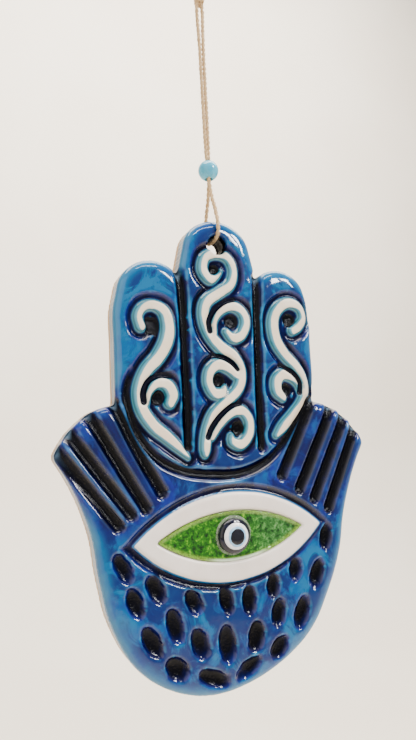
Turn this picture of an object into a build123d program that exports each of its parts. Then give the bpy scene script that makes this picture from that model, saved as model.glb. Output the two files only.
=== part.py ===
from build123d import *
import math
import os

# Hamsa hand ornament: a glazed ceramic plaque with carved fingers and a fused glass eye,
# hung by one loop of twine that also carries a turquoise bead.
# Millimetres. The origin is where the loop hangs on its hook, +Z is up, the decorated
# face looks along -Y, and +X is to the viewer's right.

# Plaque
hand_width = 124.0
hand_height = 169.0
hand_thickness = 10.0
edge_bevel = 2.4
back_bevel = 0.6
notch_round = 1.0
thumb_corner_round = 3.3
hole_diameter = 6.8
hole_below_tip = 9.8
rim_bevel = 0.8

# Carving in the plaque's face
carve_depth = 1.8
scroll_width = 3.8
branch_width = 3.5
scroll_rise = 0.2
scroll_wall_run = 0.9
moat_width = 2.4
slit_width = 1.3
finger_groove_width = 3.2
finger_groove_depth = 3.2
finger_groove_run = 1.0
sweep_groove_width = 3.2
sweep_groove_run = 1.1
thumb_groove_width = 2.9
thumb_groove_run = 0.9
dimple_width = 5.4
dimple_depth = 2.0
dimple_run = 1.3
cut_overrun = 1.0
seam_overlap = 0.3
straight_limit = 1e-4

# Eye
eye_half_length = 36.7
eye_rise = 14.5
eye_drop = 16.1
eye_groove_width = 3.0
eye_groove_run = 1.1
iris_half_length = 28.6
iris_rise = 8.0
iris_drop = 9.2
iris_depth = 2.4
glass_below_rim = 0.5
glass_clearance = 0.05
glass_tip_clearance = 0.1

# Glass bead in the eye, in four colours set into each other, and the glue round its foot
eye_bead_diameter = 12.2
eye_bead_height = 3.6
eye_bead_foot = 0.8
white_ring_diameter = 9.6
blue_ring_diameter = 5.9
pupil_diameter = 4.4
ring_depth = 0.9
dome_steps = 4
glue_width = 1.4
glue_lip = 0.2

# Twine, its knot and the turquoise bead on it
twine_diameter = 1.3
strand_gap = 0.1
hook_diameter = 1.6
hook_clearance = 0.05
hook_side_rise = 0.4
hang_length = 98.5
hole_clearance = 0.3
face_clearance = 0.4
strands_meet_drop = 14.0
part_below_bead = 0.5
bend_above_hole = 8.5
strand_lean = 0.1
run_share = 0.45
bead_diameter = 8.0
bead_steps = 8
bead_above_hole = 29.2
bore_clearance = 0.15
bend_below_bead = 1.7
knot_diameter = 4.4
knot_height = 5.0
knot_shoulder_share = 0.6
knot_waist_share = 0.4
knot_gap = 2.2
strand_sink = 1.4
tail_length = 6.0
tail_spread = 25.0

half_width = hand_width / 2
strand_offset = (twine_diameter + strand_gap) / 2
pivot_z = -hang_length
bead_z = pivot_z + bead_above_hole
hole_z = pivot_z - (hole_diameter / 2 - hole_clearance - twine_diameter / 2)
hand_base_z = hole_z - (hand_height - hole_below_tip)

# The plaque is drawn in the plane of its face: across, up from its lowest point, and out
# towards the viewer.
face_plane = Plane(origin=(0, -hand_thickness / 2, hand_base_z), x_dir=(1, 0, 0), z_dir=(0, -1, 0))

# Outline, as shares of the half width and of the height
palm_shares = [
    (1.000, 0.485), (0.800, 0.325), (0.752, 0.249), (0.655, 0.169), (0.500, 0.086),
    (0.266, 0.030), (-0.355, 0.018), (-0.584, 0.077), (-0.719, 0.164), (-0.776, 0.251),
    (-0.813, 0.337), (-1.000, 0.489),
]
left_thumb_shares = [(-1.000, 0.489), (-0.874, 0.554), (-0.779, 0.578), (-0.661, 0.588)]
left_finger_shares = [
    (-0.661, 0.588), (-0.660, 0.698), (-0.650, 0.805), (-0.590, 0.866), (-0.456, 0.895),
    (-0.258, 0.867),
]
middle_finger_shares = [
    (-0.258, 0.867), (-0.239, 0.905), (-0.168, 0.974), (0.177, 0.974), (0.248, 0.905),
    (0.265, 0.870),
]
right_finger_shares = [
    (0.265, 0.870), (0.577, 0.873), (0.634, 0.822), (0.642, 0.710), (0.632, 0.586),
]
right_thumb_shares = [(0.632, 0.586), (0.877, 0.546), (1.000, 0.485)]

# Centre lines of the scrolls, each with its branches, and of the slits where a branch
# leaves its stem
left_stem_shares = [
    (-0.511, 0.749), (-0.487, 0.791), (-0.369, 0.782), (-0.347, 0.754), (-0.413, 0.688),
    (-0.489, 0.657), (-0.532, 0.618), (-0.461, 0.546), (-0.381, 0.521), (-0.277, 0.484),
]
left_branch_shares = [(-0.500, 0.586), (-0.477, 0.611), (-0.371, 0.629), (-0.352, 0.593)]
left_slit_shares = [(-0.508, 0.596), (-0.461, 0.639), (-0.403, 0.649)]
middle_stem_shares = [
    (0.003, 0.880), (-0.050, 0.860), (-0.105, 0.879), (0.063, 0.909), (0.068, 0.851),
    (-0.019, 0.829), (-0.097, 0.809), (-0.121, 0.776), (-0.035, 0.709), (0.058, 0.689),
    (0.111, 0.657), (0.090, 0.619), (0.000, 0.589), (-0.090, 0.561), (-0.158, 0.485),
]
upper_branch_shares = [
    (-0.074, 0.738), (-0.010, 0.795), (0.074, 0.807), (0.166, 0.764), (0.129, 0.737),
    (0.068, 0.731), (0.035, 0.747),
]
centre_branch_shares = [
    (0.074, 0.643), (0.032, 0.665), (-0.039, 0.674), (-0.111, 0.630), (-0.074, 0.609),
    (-0.021, 0.617),
]
lower_branch_shares = [
    (-0.113, 0.515), (-0.055, 0.544), (0.023, 0.567), (0.103, 0.570), (0.139, 0.517),
    (0.023, 0.502), (0.015, 0.518),
]
upper_slit_shares = [(-0.084, 0.744), (-0.039, 0.793), (0.029, 0.811)]
centre_slit_shares = [(0.085, 0.660), (0.048, 0.676), (-0.010, 0.685)]
lower_slit_shares = [(-0.129, 0.512), (-0.042, 0.557), (0.032, 0.578)]
right_stem_shares = [
    (0.503, 0.749), (0.494, 0.816), (0.426, 0.808), (0.356, 0.759), (0.431, 0.694),
    (0.500, 0.670), (0.548, 0.642), (0.523, 0.583), (0.452, 0.556), (0.332, 0.517),
]
right_branch_shares = [(0.529, 0.604), (0.456, 0.645), (0.397, 0.649), (0.387, 0.601)]
right_slit_shares = [(0.521, 0.609), (0.487, 0.649), (0.429, 0.658)]

# Panels that the scrolls are sunk into: the low end, the high end and the half width of
# each finger's slot
panel_shares = {
    "left": [(-0.452, 0.430), (-0.452, 0.800), 0.172],
    "middle": [(0.000, 0.470), (0.000, 0.900), 0.198],
    "right": [(0.441, 0.430), (0.441, 0.815), 0.172],
}

# Grooves: between the fingers, the sweep under them, and four on each thumb
finger_groove_shares = [[(-0.247, 0.900), (-0.250, 0.490)], [(0.262, 0.900), (0.230, 0.480)]]
sweep_shares = [
    (-0.600, 0.627), (-0.435, 0.477), (-0.097, 0.436), (0.081, 0.436), (0.363, 0.491),
    (0.476, 0.540), (0.568, 0.586),
]
thumb_groove_shares = [
    [(-1.016, 0.518), (-0.674, 0.351)], [(-0.944, 0.547), (-0.602, 0.371)],
    [(-0.832, 0.580), (-0.521, 0.380)], [(-0.669, 0.589), (-0.426, 0.408)],
    [(0.606, 0.592), (0.347, 0.425)], [(0.752, 0.571), (0.468, 0.391)],
    [(0.855, 0.553), (0.569, 0.366)], [(0.939, 0.530), (0.669, 0.341)],
]

# Dimples of the palm: place, then length over width, then lean from upright in degrees
dimple_shares = [
    (-0.661, 0.277, 1.8, 28), (-0.602, 0.209, 1.7, 20), (-0.487, 0.228, 1.6, 25),
    (-0.518, 0.133, 1.8, 28), (-0.383, 0.155, 1.8, 15), (-0.269, 0.192, 1.5, 25),
    (-0.385, 0.072, 1.3, 50), (-0.242, 0.111, 1.5, 20), (-0.069, 0.183, 1.6, 10),
    (-0.077, 0.101, 1.9, 5), (-0.177, 0.038, 2.0, 65), (0.077, 0.179, 1.6, -2),
    (0.111, 0.104, 1.6, -10), (0.061, 0.042, 1.8, -65), (0.239, 0.197, 1.4, -5),
    (0.266, 0.141, 1.6, -12), (0.263, 0.070, 1.3, -45), (0.400, 0.224, 1.4, -10),
    (0.427, 0.133, 1.8, -20), (0.552, 0.207, 1.7, -20), (0.634, 0.283, 1.7, -15),
]
eye_height_share = 0.311
bead_share = (-0.005, 0.308)


def places(shares):
    """Points in the plane of the face, from shares of the hand's half width and height."""
    return [Vector(across * half_width, up * hand_height) for across, up in shares]


def circle_direction(before, here, after):
    """Direction at the middle point of the circle through three points."""
    back = here - before
    ahead = after - here
    blend = back * (1 / back.length**2) + ahead * (1 / ahead.length**2)
    return blend.normalized()


def mirror_direction(direction, chord):
    """Direction at the other end of an arc that leaves along direction over chord."""
    along = chord.normalized()
    return along * (2 * direction.dot(along)) - direction


def arc_chain(points):
    """Tangent arcs through the points, two for each span, as (start, direction, end)."""
    directions = [
        circle_direction(points[i - 1], points[i], points[i + 1]) for i in range(1, len(points) - 1)
    ]
    if directions:
        first = mirror_direction(directions[0], points[1] - points[0])
        last = mirror_direction(directions[-1], points[-1] - points[-2])
        directions = [first, *directions, last]
    else:
        directions = [(points[1] - points[0]).normalized()] * 2
    arcs = []
    for start, end, leave, arrive in zip(points, points[1:], directions, directions[1:]):
        chord = end - start
        bend = 2 * (1 - leave.dot(arrive))
        run = chord.dot(leave + arrive)
        if bend * chord.length < straight_limit:
            arcs.append((start, chord.normalized(), end))
            continue
        reach = (math.sqrt(run**2 + bend * chord.dot(chord)) - run) / bend
        middle = (start + leave * reach + end - arrive * reach) * (1 / 2)
        arcs.append((start, leave, middle))
        arcs.append((middle, mirror_direction(arrive, end - middle), end))
    return arcs


def arc_measures(start, direction, end):
    """Signed radius and turn of an arc; the radius is 0 when it is straight."""
    chord = end - start
    left = Vector(-direction.Y, direction.X)
    offset = chord.dot(left)
    if abs(offset) < straight_limit * chord.length:
        return 0, 0
    radius = chord.dot(chord) / (2 * offset)
    turn = 2 * math.degrees(math.atan2(offset, chord.dot(direction)))
    return radius, turn


def arc_edges(points):
    """The arc chain through the points as edges in the plane of the face."""
    edges = []
    for start, direction, end in arc_chain(points):
        radius, turn = arc_measures(start, direction, end)
        if radius:
            edges.append(Edge.make_tangent_arc(start, direction, end))
        else:
            edges.append(Edge.make_line(start, end))
    return edges


def band(shares, half_top, half_foot, top, foot):
    """Solids along an arc chain, with a trapezoid section from foot to top."""
    points = places(shares)
    solids = []
    for start, direction, end in arc_chain(points):
        radius, turn = arc_measures(start, direction, end)
        left = Vector(-direction.Y, direction.X)
        reach_left = radius if radius > 0 else math.inf
        reach_right = -radius if radius < 0 else math.inf
        section = [
            start + left * min(half_foot, reach_left) + Vector(0, 0, foot),
            start + left * min(half_top, reach_left) + Vector(0, 0, top),
            start - left * min(half_top, reach_right) + Vector(0, 0, top),
            start - left * min(half_foot, reach_right) + Vector(0, 0, foot),
        ]
        profile = Face(Wire.make_polygon(section, close=True))
        if radius:
            spin = Axis(start + left * radius, (0, 0, math.copysign(1, turn)))
            solids.append(revolve(profile, spin, abs(turn)))
        else:
            solids.append(extrude(profile, (end - start).length, dir=direction))
    rim = [(0, 0, foot), (half_foot, 0, foot), (half_top, 0, top), (0, 0, top)]
    end = revolve(Face(Wire.make_polygon(rim, close=True)), Axis.Z)
    return solids + [Pos(point.X, point.Y, 0) * end for point in (points[0], points[-1])]


def furrow(shares, width, depth, wall_run):
    """Cutters for a groove of a given width at the face, with sloping walls."""
    half = width / 2
    steepness = wall_run / depth
    return band(shares, half + steepness * cut_overrun, half - wall_run, cut_overrun, -depth)


def joined(solids):
    """One shape from many overlapping solids."""
    return solids[0].fuse(*solids[1:])


def turned(edges):
    """A solid of revolution about the upright axis, from its half profile in X and Y."""
    return revolve(Plane.XZ * make_face(edges), Axis.Z)


def almond(half_length, rise, drop):
    """A pointed oval round the eye's centre."""
    eye_up = eye_height_share * hand_height
    left = (-half_length, eye_up)
    right = (half_length, eye_up)
    upper = ThreePointArc(left, (0, eye_up + rise), right)
    lower = ThreePointArc(right, (0, eye_up - drop), left)
    return make_face(Wire([upper.edge(), lower.edge()]))


def hand_blank():
    """The plaque before it is carved: a thick plate, bevelled wide in front and narrow behind."""
    stretches = [
        palm_shares, left_thumb_shares, left_finger_shares,
        middle_finger_shares, right_finger_shares, right_thumb_shares,
    ]
    edges = [edge for shares in stretches for edge in arc_edges(places(shares))]
    outline = Face(Wire(edges))
    thumb_tips = [places(shares)[0] for shares in (palm_shares, left_thumb_shares)]
    notches = [
        places(shares)[0]
        for shares in (left_finger_shares, middle_finger_shares, right_finger_shares, right_thumb_shares)
    ]
    outline = outline.fillet_2d(thumb_corner_round, corners_at(outline, thumb_tips))
    outline = outline.fillet_2d(notch_round, corners_at(outline, notches))
    blank = extrude(outline, hand_thickness, dir=(0, 0, -1))
    front_edges = blank.faces().sort_by(Axis.Z)[-1].edges()
    blank = chamfer(front_edges, edge_bevel)
    back_edges = blank.faces().sort_by(Axis.Z)[0].edges()
    return chamfer(back_edges, back_bevel)


def corners_at(outline, points):
    """The outline's corners that lie at the points."""
    return [min(outline.vertices(), key=lambda corner: (corner.center() - point).length) for point in points]


def scroll_cutters(finger, stems):
    """The sunk ground round one finger's scroll, kept inside the finger's panel."""
    grounds = []
    for shares, width in stems:
        grounds += furrow(shares, width + 2 * (scroll_wall_run + moat_width), carve_depth, 0)
    low, high, half_share = panel_shares[finger]
    panel = furrow([low, high], 2 * half_share * half_width, carve_depth, 0)
    return joined(grounds) & joined(panel)


def scroll_bands(stems):
    """The raised bands of one finger's scroll."""
    solids = []
    for shares, width in stems:
        half = width / 2
        foot = -carve_depth - seam_overlap
        slope = scroll_wall_run / (scroll_rise + carve_depth)
        half_foot = half + slope * (scroll_rise - foot)
        solids += band(shares, half, half_foot, scroll_rise, foot)
    return joined(solids)


def hole_cutter():
    """The hanging hole with its bevelled rims, right through the plaque."""
    radius = hole_diameter / 2
    wide = radius + rim_bevel
    profile = [
        (0, cut_overrun), (wide, cut_overrun), (wide, 0), (radius, -rim_bevel),
        (radius, rim_bevel - hand_thickness), (wide, -hand_thickness),
        (wide, -hand_thickness - cut_overrun), (0, -hand_thickness - cut_overrun),
    ]
    return Pos(0, hand_height - hole_below_tip, 0) * turned(Polyline(*profile, close=True).edges())


def dimple_cutters():
    """The oval dimples pressed into the palm."""
    cutters = []
    for across, up, slimness, lean in dimple_shares:
        reach = dimple_width * (slimness - 1) / 2
        drift = Vector(-reach * math.sin(math.radians(lean)), reach * math.cos(math.radians(lean)))
        step = (drift.X / half_width, drift.Y / hand_height)
        ends = [(across - step[0], up - step[1]), (across + step[0], up + step[1])]
        cutters += furrow(ends, dimple_width, dimple_depth, dimple_run)
    return cutters


def eye_groove_cutters():
    """The groove round the cream almond."""
    out = eye_groove_width / 2
    length = eye_half_length + out
    eye_up = eye_height_share * hand_height
    cutters = []
    for rise in (eye_rise + out, -eye_drop - out):
        radius = (length**2 + rise**2) / (2 * abs(rise))
        quarter = length / 2
        height = math.sqrt(radius**2 - quarter**2) - (radius - abs(rise))
        height = math.copysign(height, rise)
        points = [(-length, 0), (-quarter, height), (0, rise), (quarter, height), (length, 0)]
        shares = [(x / half_width, (eye_up + z) / hand_height) for x, z in points]
        cutters += furrow(shares, eye_groove_width, carve_depth, eye_groove_run)
    return cutters


def carved_hand():
    """The fired plaque with all its relief, in the plane of its face."""
    scrolls = {
        "left": [(left_stem_shares, scroll_width), (left_branch_shares, branch_width)],
        "middle": [
            (middle_stem_shares, scroll_width), (upper_branch_shares, branch_width),
            (centre_branch_shares, branch_width), (lower_branch_shares, branch_width),
        ],
        "right": [(right_stem_shares, scroll_width), (right_branch_shares, branch_width)],
    }
    slits = {
        "left": [left_slit_shares],
        "middle": [upper_slit_shares, centre_slit_shares, lower_slit_shares],
        "right": [right_slit_shares],
    }
    hand = hand_blank()
    for finger, stems in scrolls.items():
        hand = hand - scroll_cutters(finger, stems)
        hand = hand + scroll_bands(stems)
        for shares in slits[finger]:
            hand = hand - joined(furrow(shares, slit_width, carve_depth, 0))
    for shares in finger_groove_shares:
        hand = hand - joined(furrow(shares, finger_groove_width, finger_groove_depth, finger_groove_run))
    hand = hand - joined(furrow(sweep_shares, sweep_groove_width, carve_depth, sweep_groove_run))
    for shares in thumb_groove_shares:
        hand = hand - joined(furrow(shares, thumb_groove_width, carve_depth, thumb_groove_run))
    hand = hand - joined(dimple_cutters())
    hand = hand - joined(eye_groove_cutters())
    iris = almond(iris_half_length, iris_rise, iris_drop)
    hand = hand - extrude(iris, iris_depth, dir=(0, 0, -1))
    return hand - hole_cutter()


def eye_glass():
    """The pool of glass that fills the eye's bed, a little below its rim."""
    pool = almond(
        iris_half_length - glass_tip_clearance, iris_rise - glass_clearance, iris_drop - glass_clearance
    )
    pool = Pos(0, 0, -iris_depth) * pool
    return extrude(pool, iris_depth - glass_below_rim, dir=(0, 0, 1))


def round_profile(bow, low, high, steps):
    """Points on an arc about the origin, at even angles from the upright axis."""
    angles = [low + (high - low) * step / steps for step in range(steps + 1)]
    return [(bow * math.sin(angle), bow * math.cos(angle)) for angle in angles]


def eye_bead():
    """The four colours of the eye bead, from the body to the pupil, standing on their foot."""
    radius = eye_bead_diameter / 2
    cap = eye_bead_height - eye_bead_foot
    bow = (radius**2 + cap**2) / (2 * cap)
    crown = round_profile(bow, 0, math.asin(radius / bow), dome_steps)
    crown = [(across, up + eye_bead_height - bow) for across, up in crown]
    dome = turned(Polyline(*crown, (radius, 0), (0, 0), close=True).edges())
    skin = dome - Pos(0, 0, -ring_depth) * dome
    rings = []
    for diameter in (white_ring_diameter, blue_ring_diameter, pupil_diameter):
        rings.append(skin & Cylinder(diameter / 2, 2 * eye_bead_height))
    white, blue, pupil = rings
    return dome - white, white - blue, blue - pupil, pupil


def bead_glue():
    """The ring of glue round the bead's foot."""
    radius = eye_bead_diameter / 2
    outer = radius + glue_width
    profile = [(radius, 0), (outer, 0), (outer, glue_lip), (radius, eye_bead_foot)]
    return turned(Polyline(*profile, close=True).edges())


def turquoise_bead():
    """The round bead on the twine, bored for both strands."""
    bore = strand_offset + twine_diameter / 2 + bore_clearance
    rim = math.asin(2 * bore / bead_diameter)
    profile = round_profile(bead_diameter / 2, rim, math.pi - rim, bead_steps)
    return Pos(0, 0, bead_z) * turned(Polyline(*profile, close=True).edges())


def twine_route():
    """Corners of the twine from the knot through the hole and back, and their arc radii.

    It is tight where it passes the hook, leaves the bead and turns into the hole, so there
    the arc is that of the thing it rounds.
    """
    hook_x = (hook_diameter + twine_diameter) / 2 + hook_clearance
    face_y = hand_thickness / 2 + face_clearance + twine_diameter / 2
    strand = [
        (strand_offset, 0, knot_gap + strand_sink),
        (hook_x, 0, hook_side_rise),
        (strand_offset, 0, -strands_meet_drop),
        (strand_offset, 0, bead_z - bead_diameter / 2 - part_below_bead),
        (strand_lean, face_y + strand_lean, pivot_z + bend_above_hole),
        (0, face_y, pivot_z),
    ]
    front = [Vector(-x, -y, z) for x, y, z in strand]
    back = [Vector(x, y, z) for x, y, z in reversed(strand)]
    corners = front + back
    radii = [corner_radius(*corners[i - 1:i + 2]) for i in range(1, len(corners) - 1)]
    radii[0] = radii[-1] = (hook_diameter + twine_diameter) / 2
    radii[2] = radii[-3] = bend_below_bead
    radii[4] = radii[-5] = rim_bevel + hole_clearance + twine_diameter / 2
    return corners, radii


def corner_radius(before, here, after):
    """Radius of the arc at a corner, from the shorter of the runs beside it."""
    turn = math.radians((here - before).get_angle(after - here))
    run = min((here - before).length, (after - here).length)
    return run_share * run / math.tan(turn / 2)


def twine():
    """The twine as one tube along straight runs and tangent arcs."""
    corners, radii = twine_route()
    path = FilletPolyline(*corners, radius=radii)
    section = Plane(origin=path @ 0, z_dir=path % 0) * Circle(twine_diameter / 2)
    tube = sweep(section, path=path)
    print("twine length", round(path.length, 2), "radii", [round(radius, 2) for radius in radii])
    print("twine volume", round(tube.volume, 3), "section by length", round(section.area * path.length, 3))
    return tube


def knot():
    """The knot over the hook, with its two cut tails."""
    half = knot_height / 2
    waist = half * knot_waist_share
    belly = knot_diameter / 2
    shoulder = belly * knot_shoulder_share
    profile = [(0, -half), (shoulder, -half), (belly, -waist), (belly, waist), (shoulder, half), (0, half)]
    lump = turned(Polyline(*profile, close=True).edges())
    tail = Cylinder(twine_diameter / 2, half + tail_length, align=(Align.CENTER, Align.CENTER, Align.MIN))
    for side in (-1, 1):
        lump = lump + Rot(0, side * tail_spread, 0) * tail
    return Pos(0, 0, knot_gap + half) * lump


os.makedirs("parts", exist_ok=True)

on_face = face_plane.location
bead_seat = Pos(bead_share[0] * half_width, bead_share[1] * hand_height, -glass_below_rim)
base, white, blue, pupil = eye_bead()
nodes = {
    "hand": on_face * carved_hand(),
    "eye_glass": on_face * eye_glass(),
    "bead_glue": on_face * bead_seat * bead_glue(),
    "evil_eye_base": on_face * bead_seat * base,
    "evil_eye_white": on_face * bead_seat * white,
    "evil_eye_blue": on_face * bead_seat * blue,
    "evil_eye_pupil": on_face * bead_seat * pupil,
    "turquoise_bead": turquoise_bead(),
    "twine": twine(),
    "knot": knot(),
}
for name, node in nodes.items():
    export_step(node, f"parts/{name}.step")
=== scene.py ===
import math

import bpy
import numpy as np
from mathutils import Matrix, Vector, noise


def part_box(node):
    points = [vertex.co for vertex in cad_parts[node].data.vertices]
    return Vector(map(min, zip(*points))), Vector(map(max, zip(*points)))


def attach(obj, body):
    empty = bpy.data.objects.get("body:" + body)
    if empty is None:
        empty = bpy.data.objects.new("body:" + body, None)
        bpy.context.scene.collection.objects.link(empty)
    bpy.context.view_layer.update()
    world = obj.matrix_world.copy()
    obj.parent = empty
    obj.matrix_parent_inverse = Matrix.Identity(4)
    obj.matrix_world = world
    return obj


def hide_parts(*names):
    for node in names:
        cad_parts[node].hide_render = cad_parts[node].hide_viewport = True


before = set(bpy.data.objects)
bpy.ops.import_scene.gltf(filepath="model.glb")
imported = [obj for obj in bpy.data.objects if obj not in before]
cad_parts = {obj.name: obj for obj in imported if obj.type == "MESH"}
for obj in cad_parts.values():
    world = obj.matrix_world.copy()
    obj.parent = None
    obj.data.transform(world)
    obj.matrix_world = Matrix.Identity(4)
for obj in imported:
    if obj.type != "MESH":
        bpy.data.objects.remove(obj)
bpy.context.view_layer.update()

# The plaque and what is set in it are drawn in millimetres: across from its middle line, up from
# its lowest point, and out of its face towards the viewer. Everything else is in metres.
MM = 0.001

# The plaque's face, back and foot in the shared frame, its hole's middle and radius, and the
# height of the eye's middle
FACE_Y = -5.0
BACK_Y = 4.95
FOOT_Z = -260.15
HOLE = (0.0, 159.2)
HOLE_RADIUS = 3.4
EYE_UP = 52.6

# How it is made: the width of the face's squares, where the CAD is sliced for its outline, the
# slab's thickness, the three steps of the side, and how far from a line its distance is worked out
GRID = 0.42
SLICE_Y = 1.5
SLAB = 1.2
SIDE_STEPS = (2.2, 4.0, 0.5)
FAR = 9.0

# The carving's widths and depths, in millimetres. A groove has its half width, its depth and
# the sharpness of its walls; an almond has its half length, and its rise and drop from the
# eye's middle.
PILLOW_WIDTH = 6.0
PILLOW_DROP = 2.6
MOAT_DEPTH = 1.45
CURL_DEPTH = 2.2
SLOPE_WIDTH = 1.0
SLOPE_DEPTH = 0.5
SCROLL_LIFT = 0.25
SLIT_EASE = 0.34
SLIT_DEPTH = 2.0
FINGER_GROOVE = (2.9, 2.6, 2.0)
SWEEP_GROOVE = (2.5, 2.1, 1.6)
THUMB_GROOVE = (2.9, 2.1, 1.6)
DIMPLE_DEPTH = 2.1
DIMPLE_SPREAD = 1.12
DIMPLE_STRETCH = 1.1
DIMPLE_TAPER = 0.16
EYE_ALMOND = (36.7, 14.5, 16.1)
EYE_BED = (28.6, 8.0, 9.2)
BED_DEPTH = 2.3
HOLE_COLLAR = 0.4

# The evil-eye bead's middle: across, up
EYE_BEAD = (-0.31, 52.05)

# The edge: how far in the face rises more gently, how steeply, how far it turns down over the
# side, and how far the back's rim is drawn in towards the middle.
EASE_WIDTH = 4.0
EASE_POWER = 1.45
EDGE_DROP = 3.1
BACK_INSET = 0.5
MIDDLE = (0.0, 80.0)

# The stage: its floor's height and size, how far the backdrop rises, and the curve between them
STAGE_Z = -0.75
STAGE_SIZE = (9, 3.2)
BACKDROP_RISE = 4.5
COVE_WIDTH = 0.6

# Centre lines of the scrolls: across, up, half width
LEFT_STEM = [
    (-31.6, 126.6, 1.7), (-32.5, 130.3, 1.5), (-30.4, 133.6, 1.6), (-26.6, 134.4, 1.7),
    (-22.9, 132.4, 2.1), (-21.4, 127.5, 2.3), (-22.2, 121.8, 2.4), (-25.4, 116.2, 2.3),
    (-30.2, 111.0, 2.1), (-33.2, 104.5, 1.8), (-32.3, 98.0, 2.1), (-28.7, 92.2, 2.1),
    (-23.6, 87.8, 2.0), (-18.6, 83.2, 1.4), (-15.9, 80.2, 0.5),
]
LEFT_BRANCH = [
    (-31.0, 99.6, 1.2), (-29.6, 103.8, 1.4), (-26.4, 106.6, 1.7), (-22.9, 106.0, 2.1),
    (-21.0, 102.6, 2.2), (-22.0, 99.6, 1.8),
]
RIGHT_STEM = [
    (30.6, 127.0, 1.6), (33.6, 128.9, 1.9), (35.9, 132.4, 1.6), (34.6, 136.4, 1.7),
    (30.4, 138.2, 1.9), (26.2, 136.9, 2.1), (23.1, 133.3, 2.2), (22.0, 128.3, 2.3),
    (23.2, 122.3, 2.3), (26.6, 117.3, 2.2), (30.9, 113.0, 2.0), (34.0, 108.3, 1.7),
    (34.6, 103.4, 1.7), (32.4, 98.4, 1.9), (28.0, 93.6, 2.1), (23.6, 89.8, 1.9), (20.2, 86.6, 1.0),
]
RIGHT_BRANCH = [
    (32.9, 102.2, 1.1), (31.4, 106.2, 1.4), (28.3, 108.8, 1.7), (24.6, 109.6, 2.0),
    (22.0, 107.2, 2.2), (21.9, 103.4, 2.1), (24.2, 100.8, 1.5),
]
MIDDLE_STEM = [
    (0.8, 149.0, 0.5), (-1.2, 146.6, 1.0), (-4.2, 145.4, 1.7), (-6.7, 149.0, 1.9), (-5.4, 153.8, 1.8),
    (-0.9, 155.6, 1.8), (3.8, 154.2, 1.8), (5.9, 149.4, 1.7), (4.2, 143.9, 1.9),
    (-1.2, 140.1, 2.0), (-6.0, 136.6, 2.1), (-7.3, 131.2, 2.0), (-5.6, 125.0, 2.0),
    (-1.6, 120.2, 2.2), (3.8, 116.5, 2.2), (6.6, 111.0, 2.1), (5.4, 104.8, 2.0),
    (0.0, 99.7, 1.9), (-5.4, 95.0, 1.9), (-8.4, 88.4, 1.9), (-9.3, 82.6, 1.7), (-9.4, 80.8, 0.9),
]
UPPER_BRANCH = [
    (-3.6, 125.0, 1.2), (-3.3, 129.6, 1.3), (-0.4, 133.6, 1.6), (4.4, 135.6, 1.8),
    (8.6, 133.6, 1.9), (9.9, 129.2, 1.9), (7.6, 124.6, 1.9), (3.9, 123.4, 1.7), (1.6, 125.6, 1.2),
]
CENTRE_BRANCH = [
    (4.4, 109.4, 1.5), (1.4, 112.0, 1.8), (-2.6, 113.3, 2.0), (-6.0, 110.8, 1.9),
    (-6.8, 106.4, 1.8), (-4.6, 102.6, 1.8), (-1.3, 103.2, 1.6), (-0.6, 105.0, 0.9),
]
LOWER_BRANCH = [
    (-6.6, 87.2, 1.3), (-3.2, 91.8, 1.6), (1.4, 95.6, 1.8), (6.0, 96.2, 1.8),
    (8.9, 92.4, 1.8), (8.3, 87.3, 1.9), (4.9, 83.9, 1.8), (1.6, 85.0, 1.5), (1.2, 87.0, 0.9),
]
SCROLLS = [
    LEFT_STEM, LEFT_BRANCH, RIGHT_STEM, RIGHT_BRANCH, MIDDLE_STEM,
    UPPER_BRANCH, CENTRE_BRANCH, LOWER_BRANCH,
]

# Deep hollows in the curls' mouths: across, up, radius
POOLS = [
    (-27.6, 127.0, 3.4), (-26.2, 101.6, 3.0), (-1.6, 149.2, 2.2), (4.0, 129.8, 2.8),
    (-2.4, 107.6, 2.9), (4.6, 89.8, 2.7), (30.0, 131.2, 3.0), (26.4, 103.6, 2.6),
]

# Narrow cuts between a stem and its branch: across, up, half width
SLITS = [
    [
        (-31.4, 100.2, 0.7), (-31.4, 103.6, 0.7), (-29.4, 107.4, 0.6), (-25.4, 109.3, 0.5),
        (-21.4, 109.0, 0.4),
    ],
    [
        (32.3, 102.6, 0.6), (32.5, 106.6, 0.6), (30.2, 110.0, 0.6), (26.6, 112.2, 0.5),
        (24.2, 113.4, 0.4),
    ],
    [
        (-5.0, 125.8, 0.6), (-5.1, 129.6, 0.65), (-2.6, 133.8, 0.6), (1.6, 137.0, 0.5),
        (6.0, 138.4, 0.4),
    ],
    [(5.6, 111.6, 0.35), (3.6, 114.0, 0.5), (0.4, 115.9, 0.5), (-4.0, 116.8, 0.4)],
    [(-7.9, 87.0, 0.6), (-6.0, 90.6, 0.65), (-2.2, 94.8, 0.6), (2.2, 97.9, 0.5), (6.0, 98.9, 0.4)],
]

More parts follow.
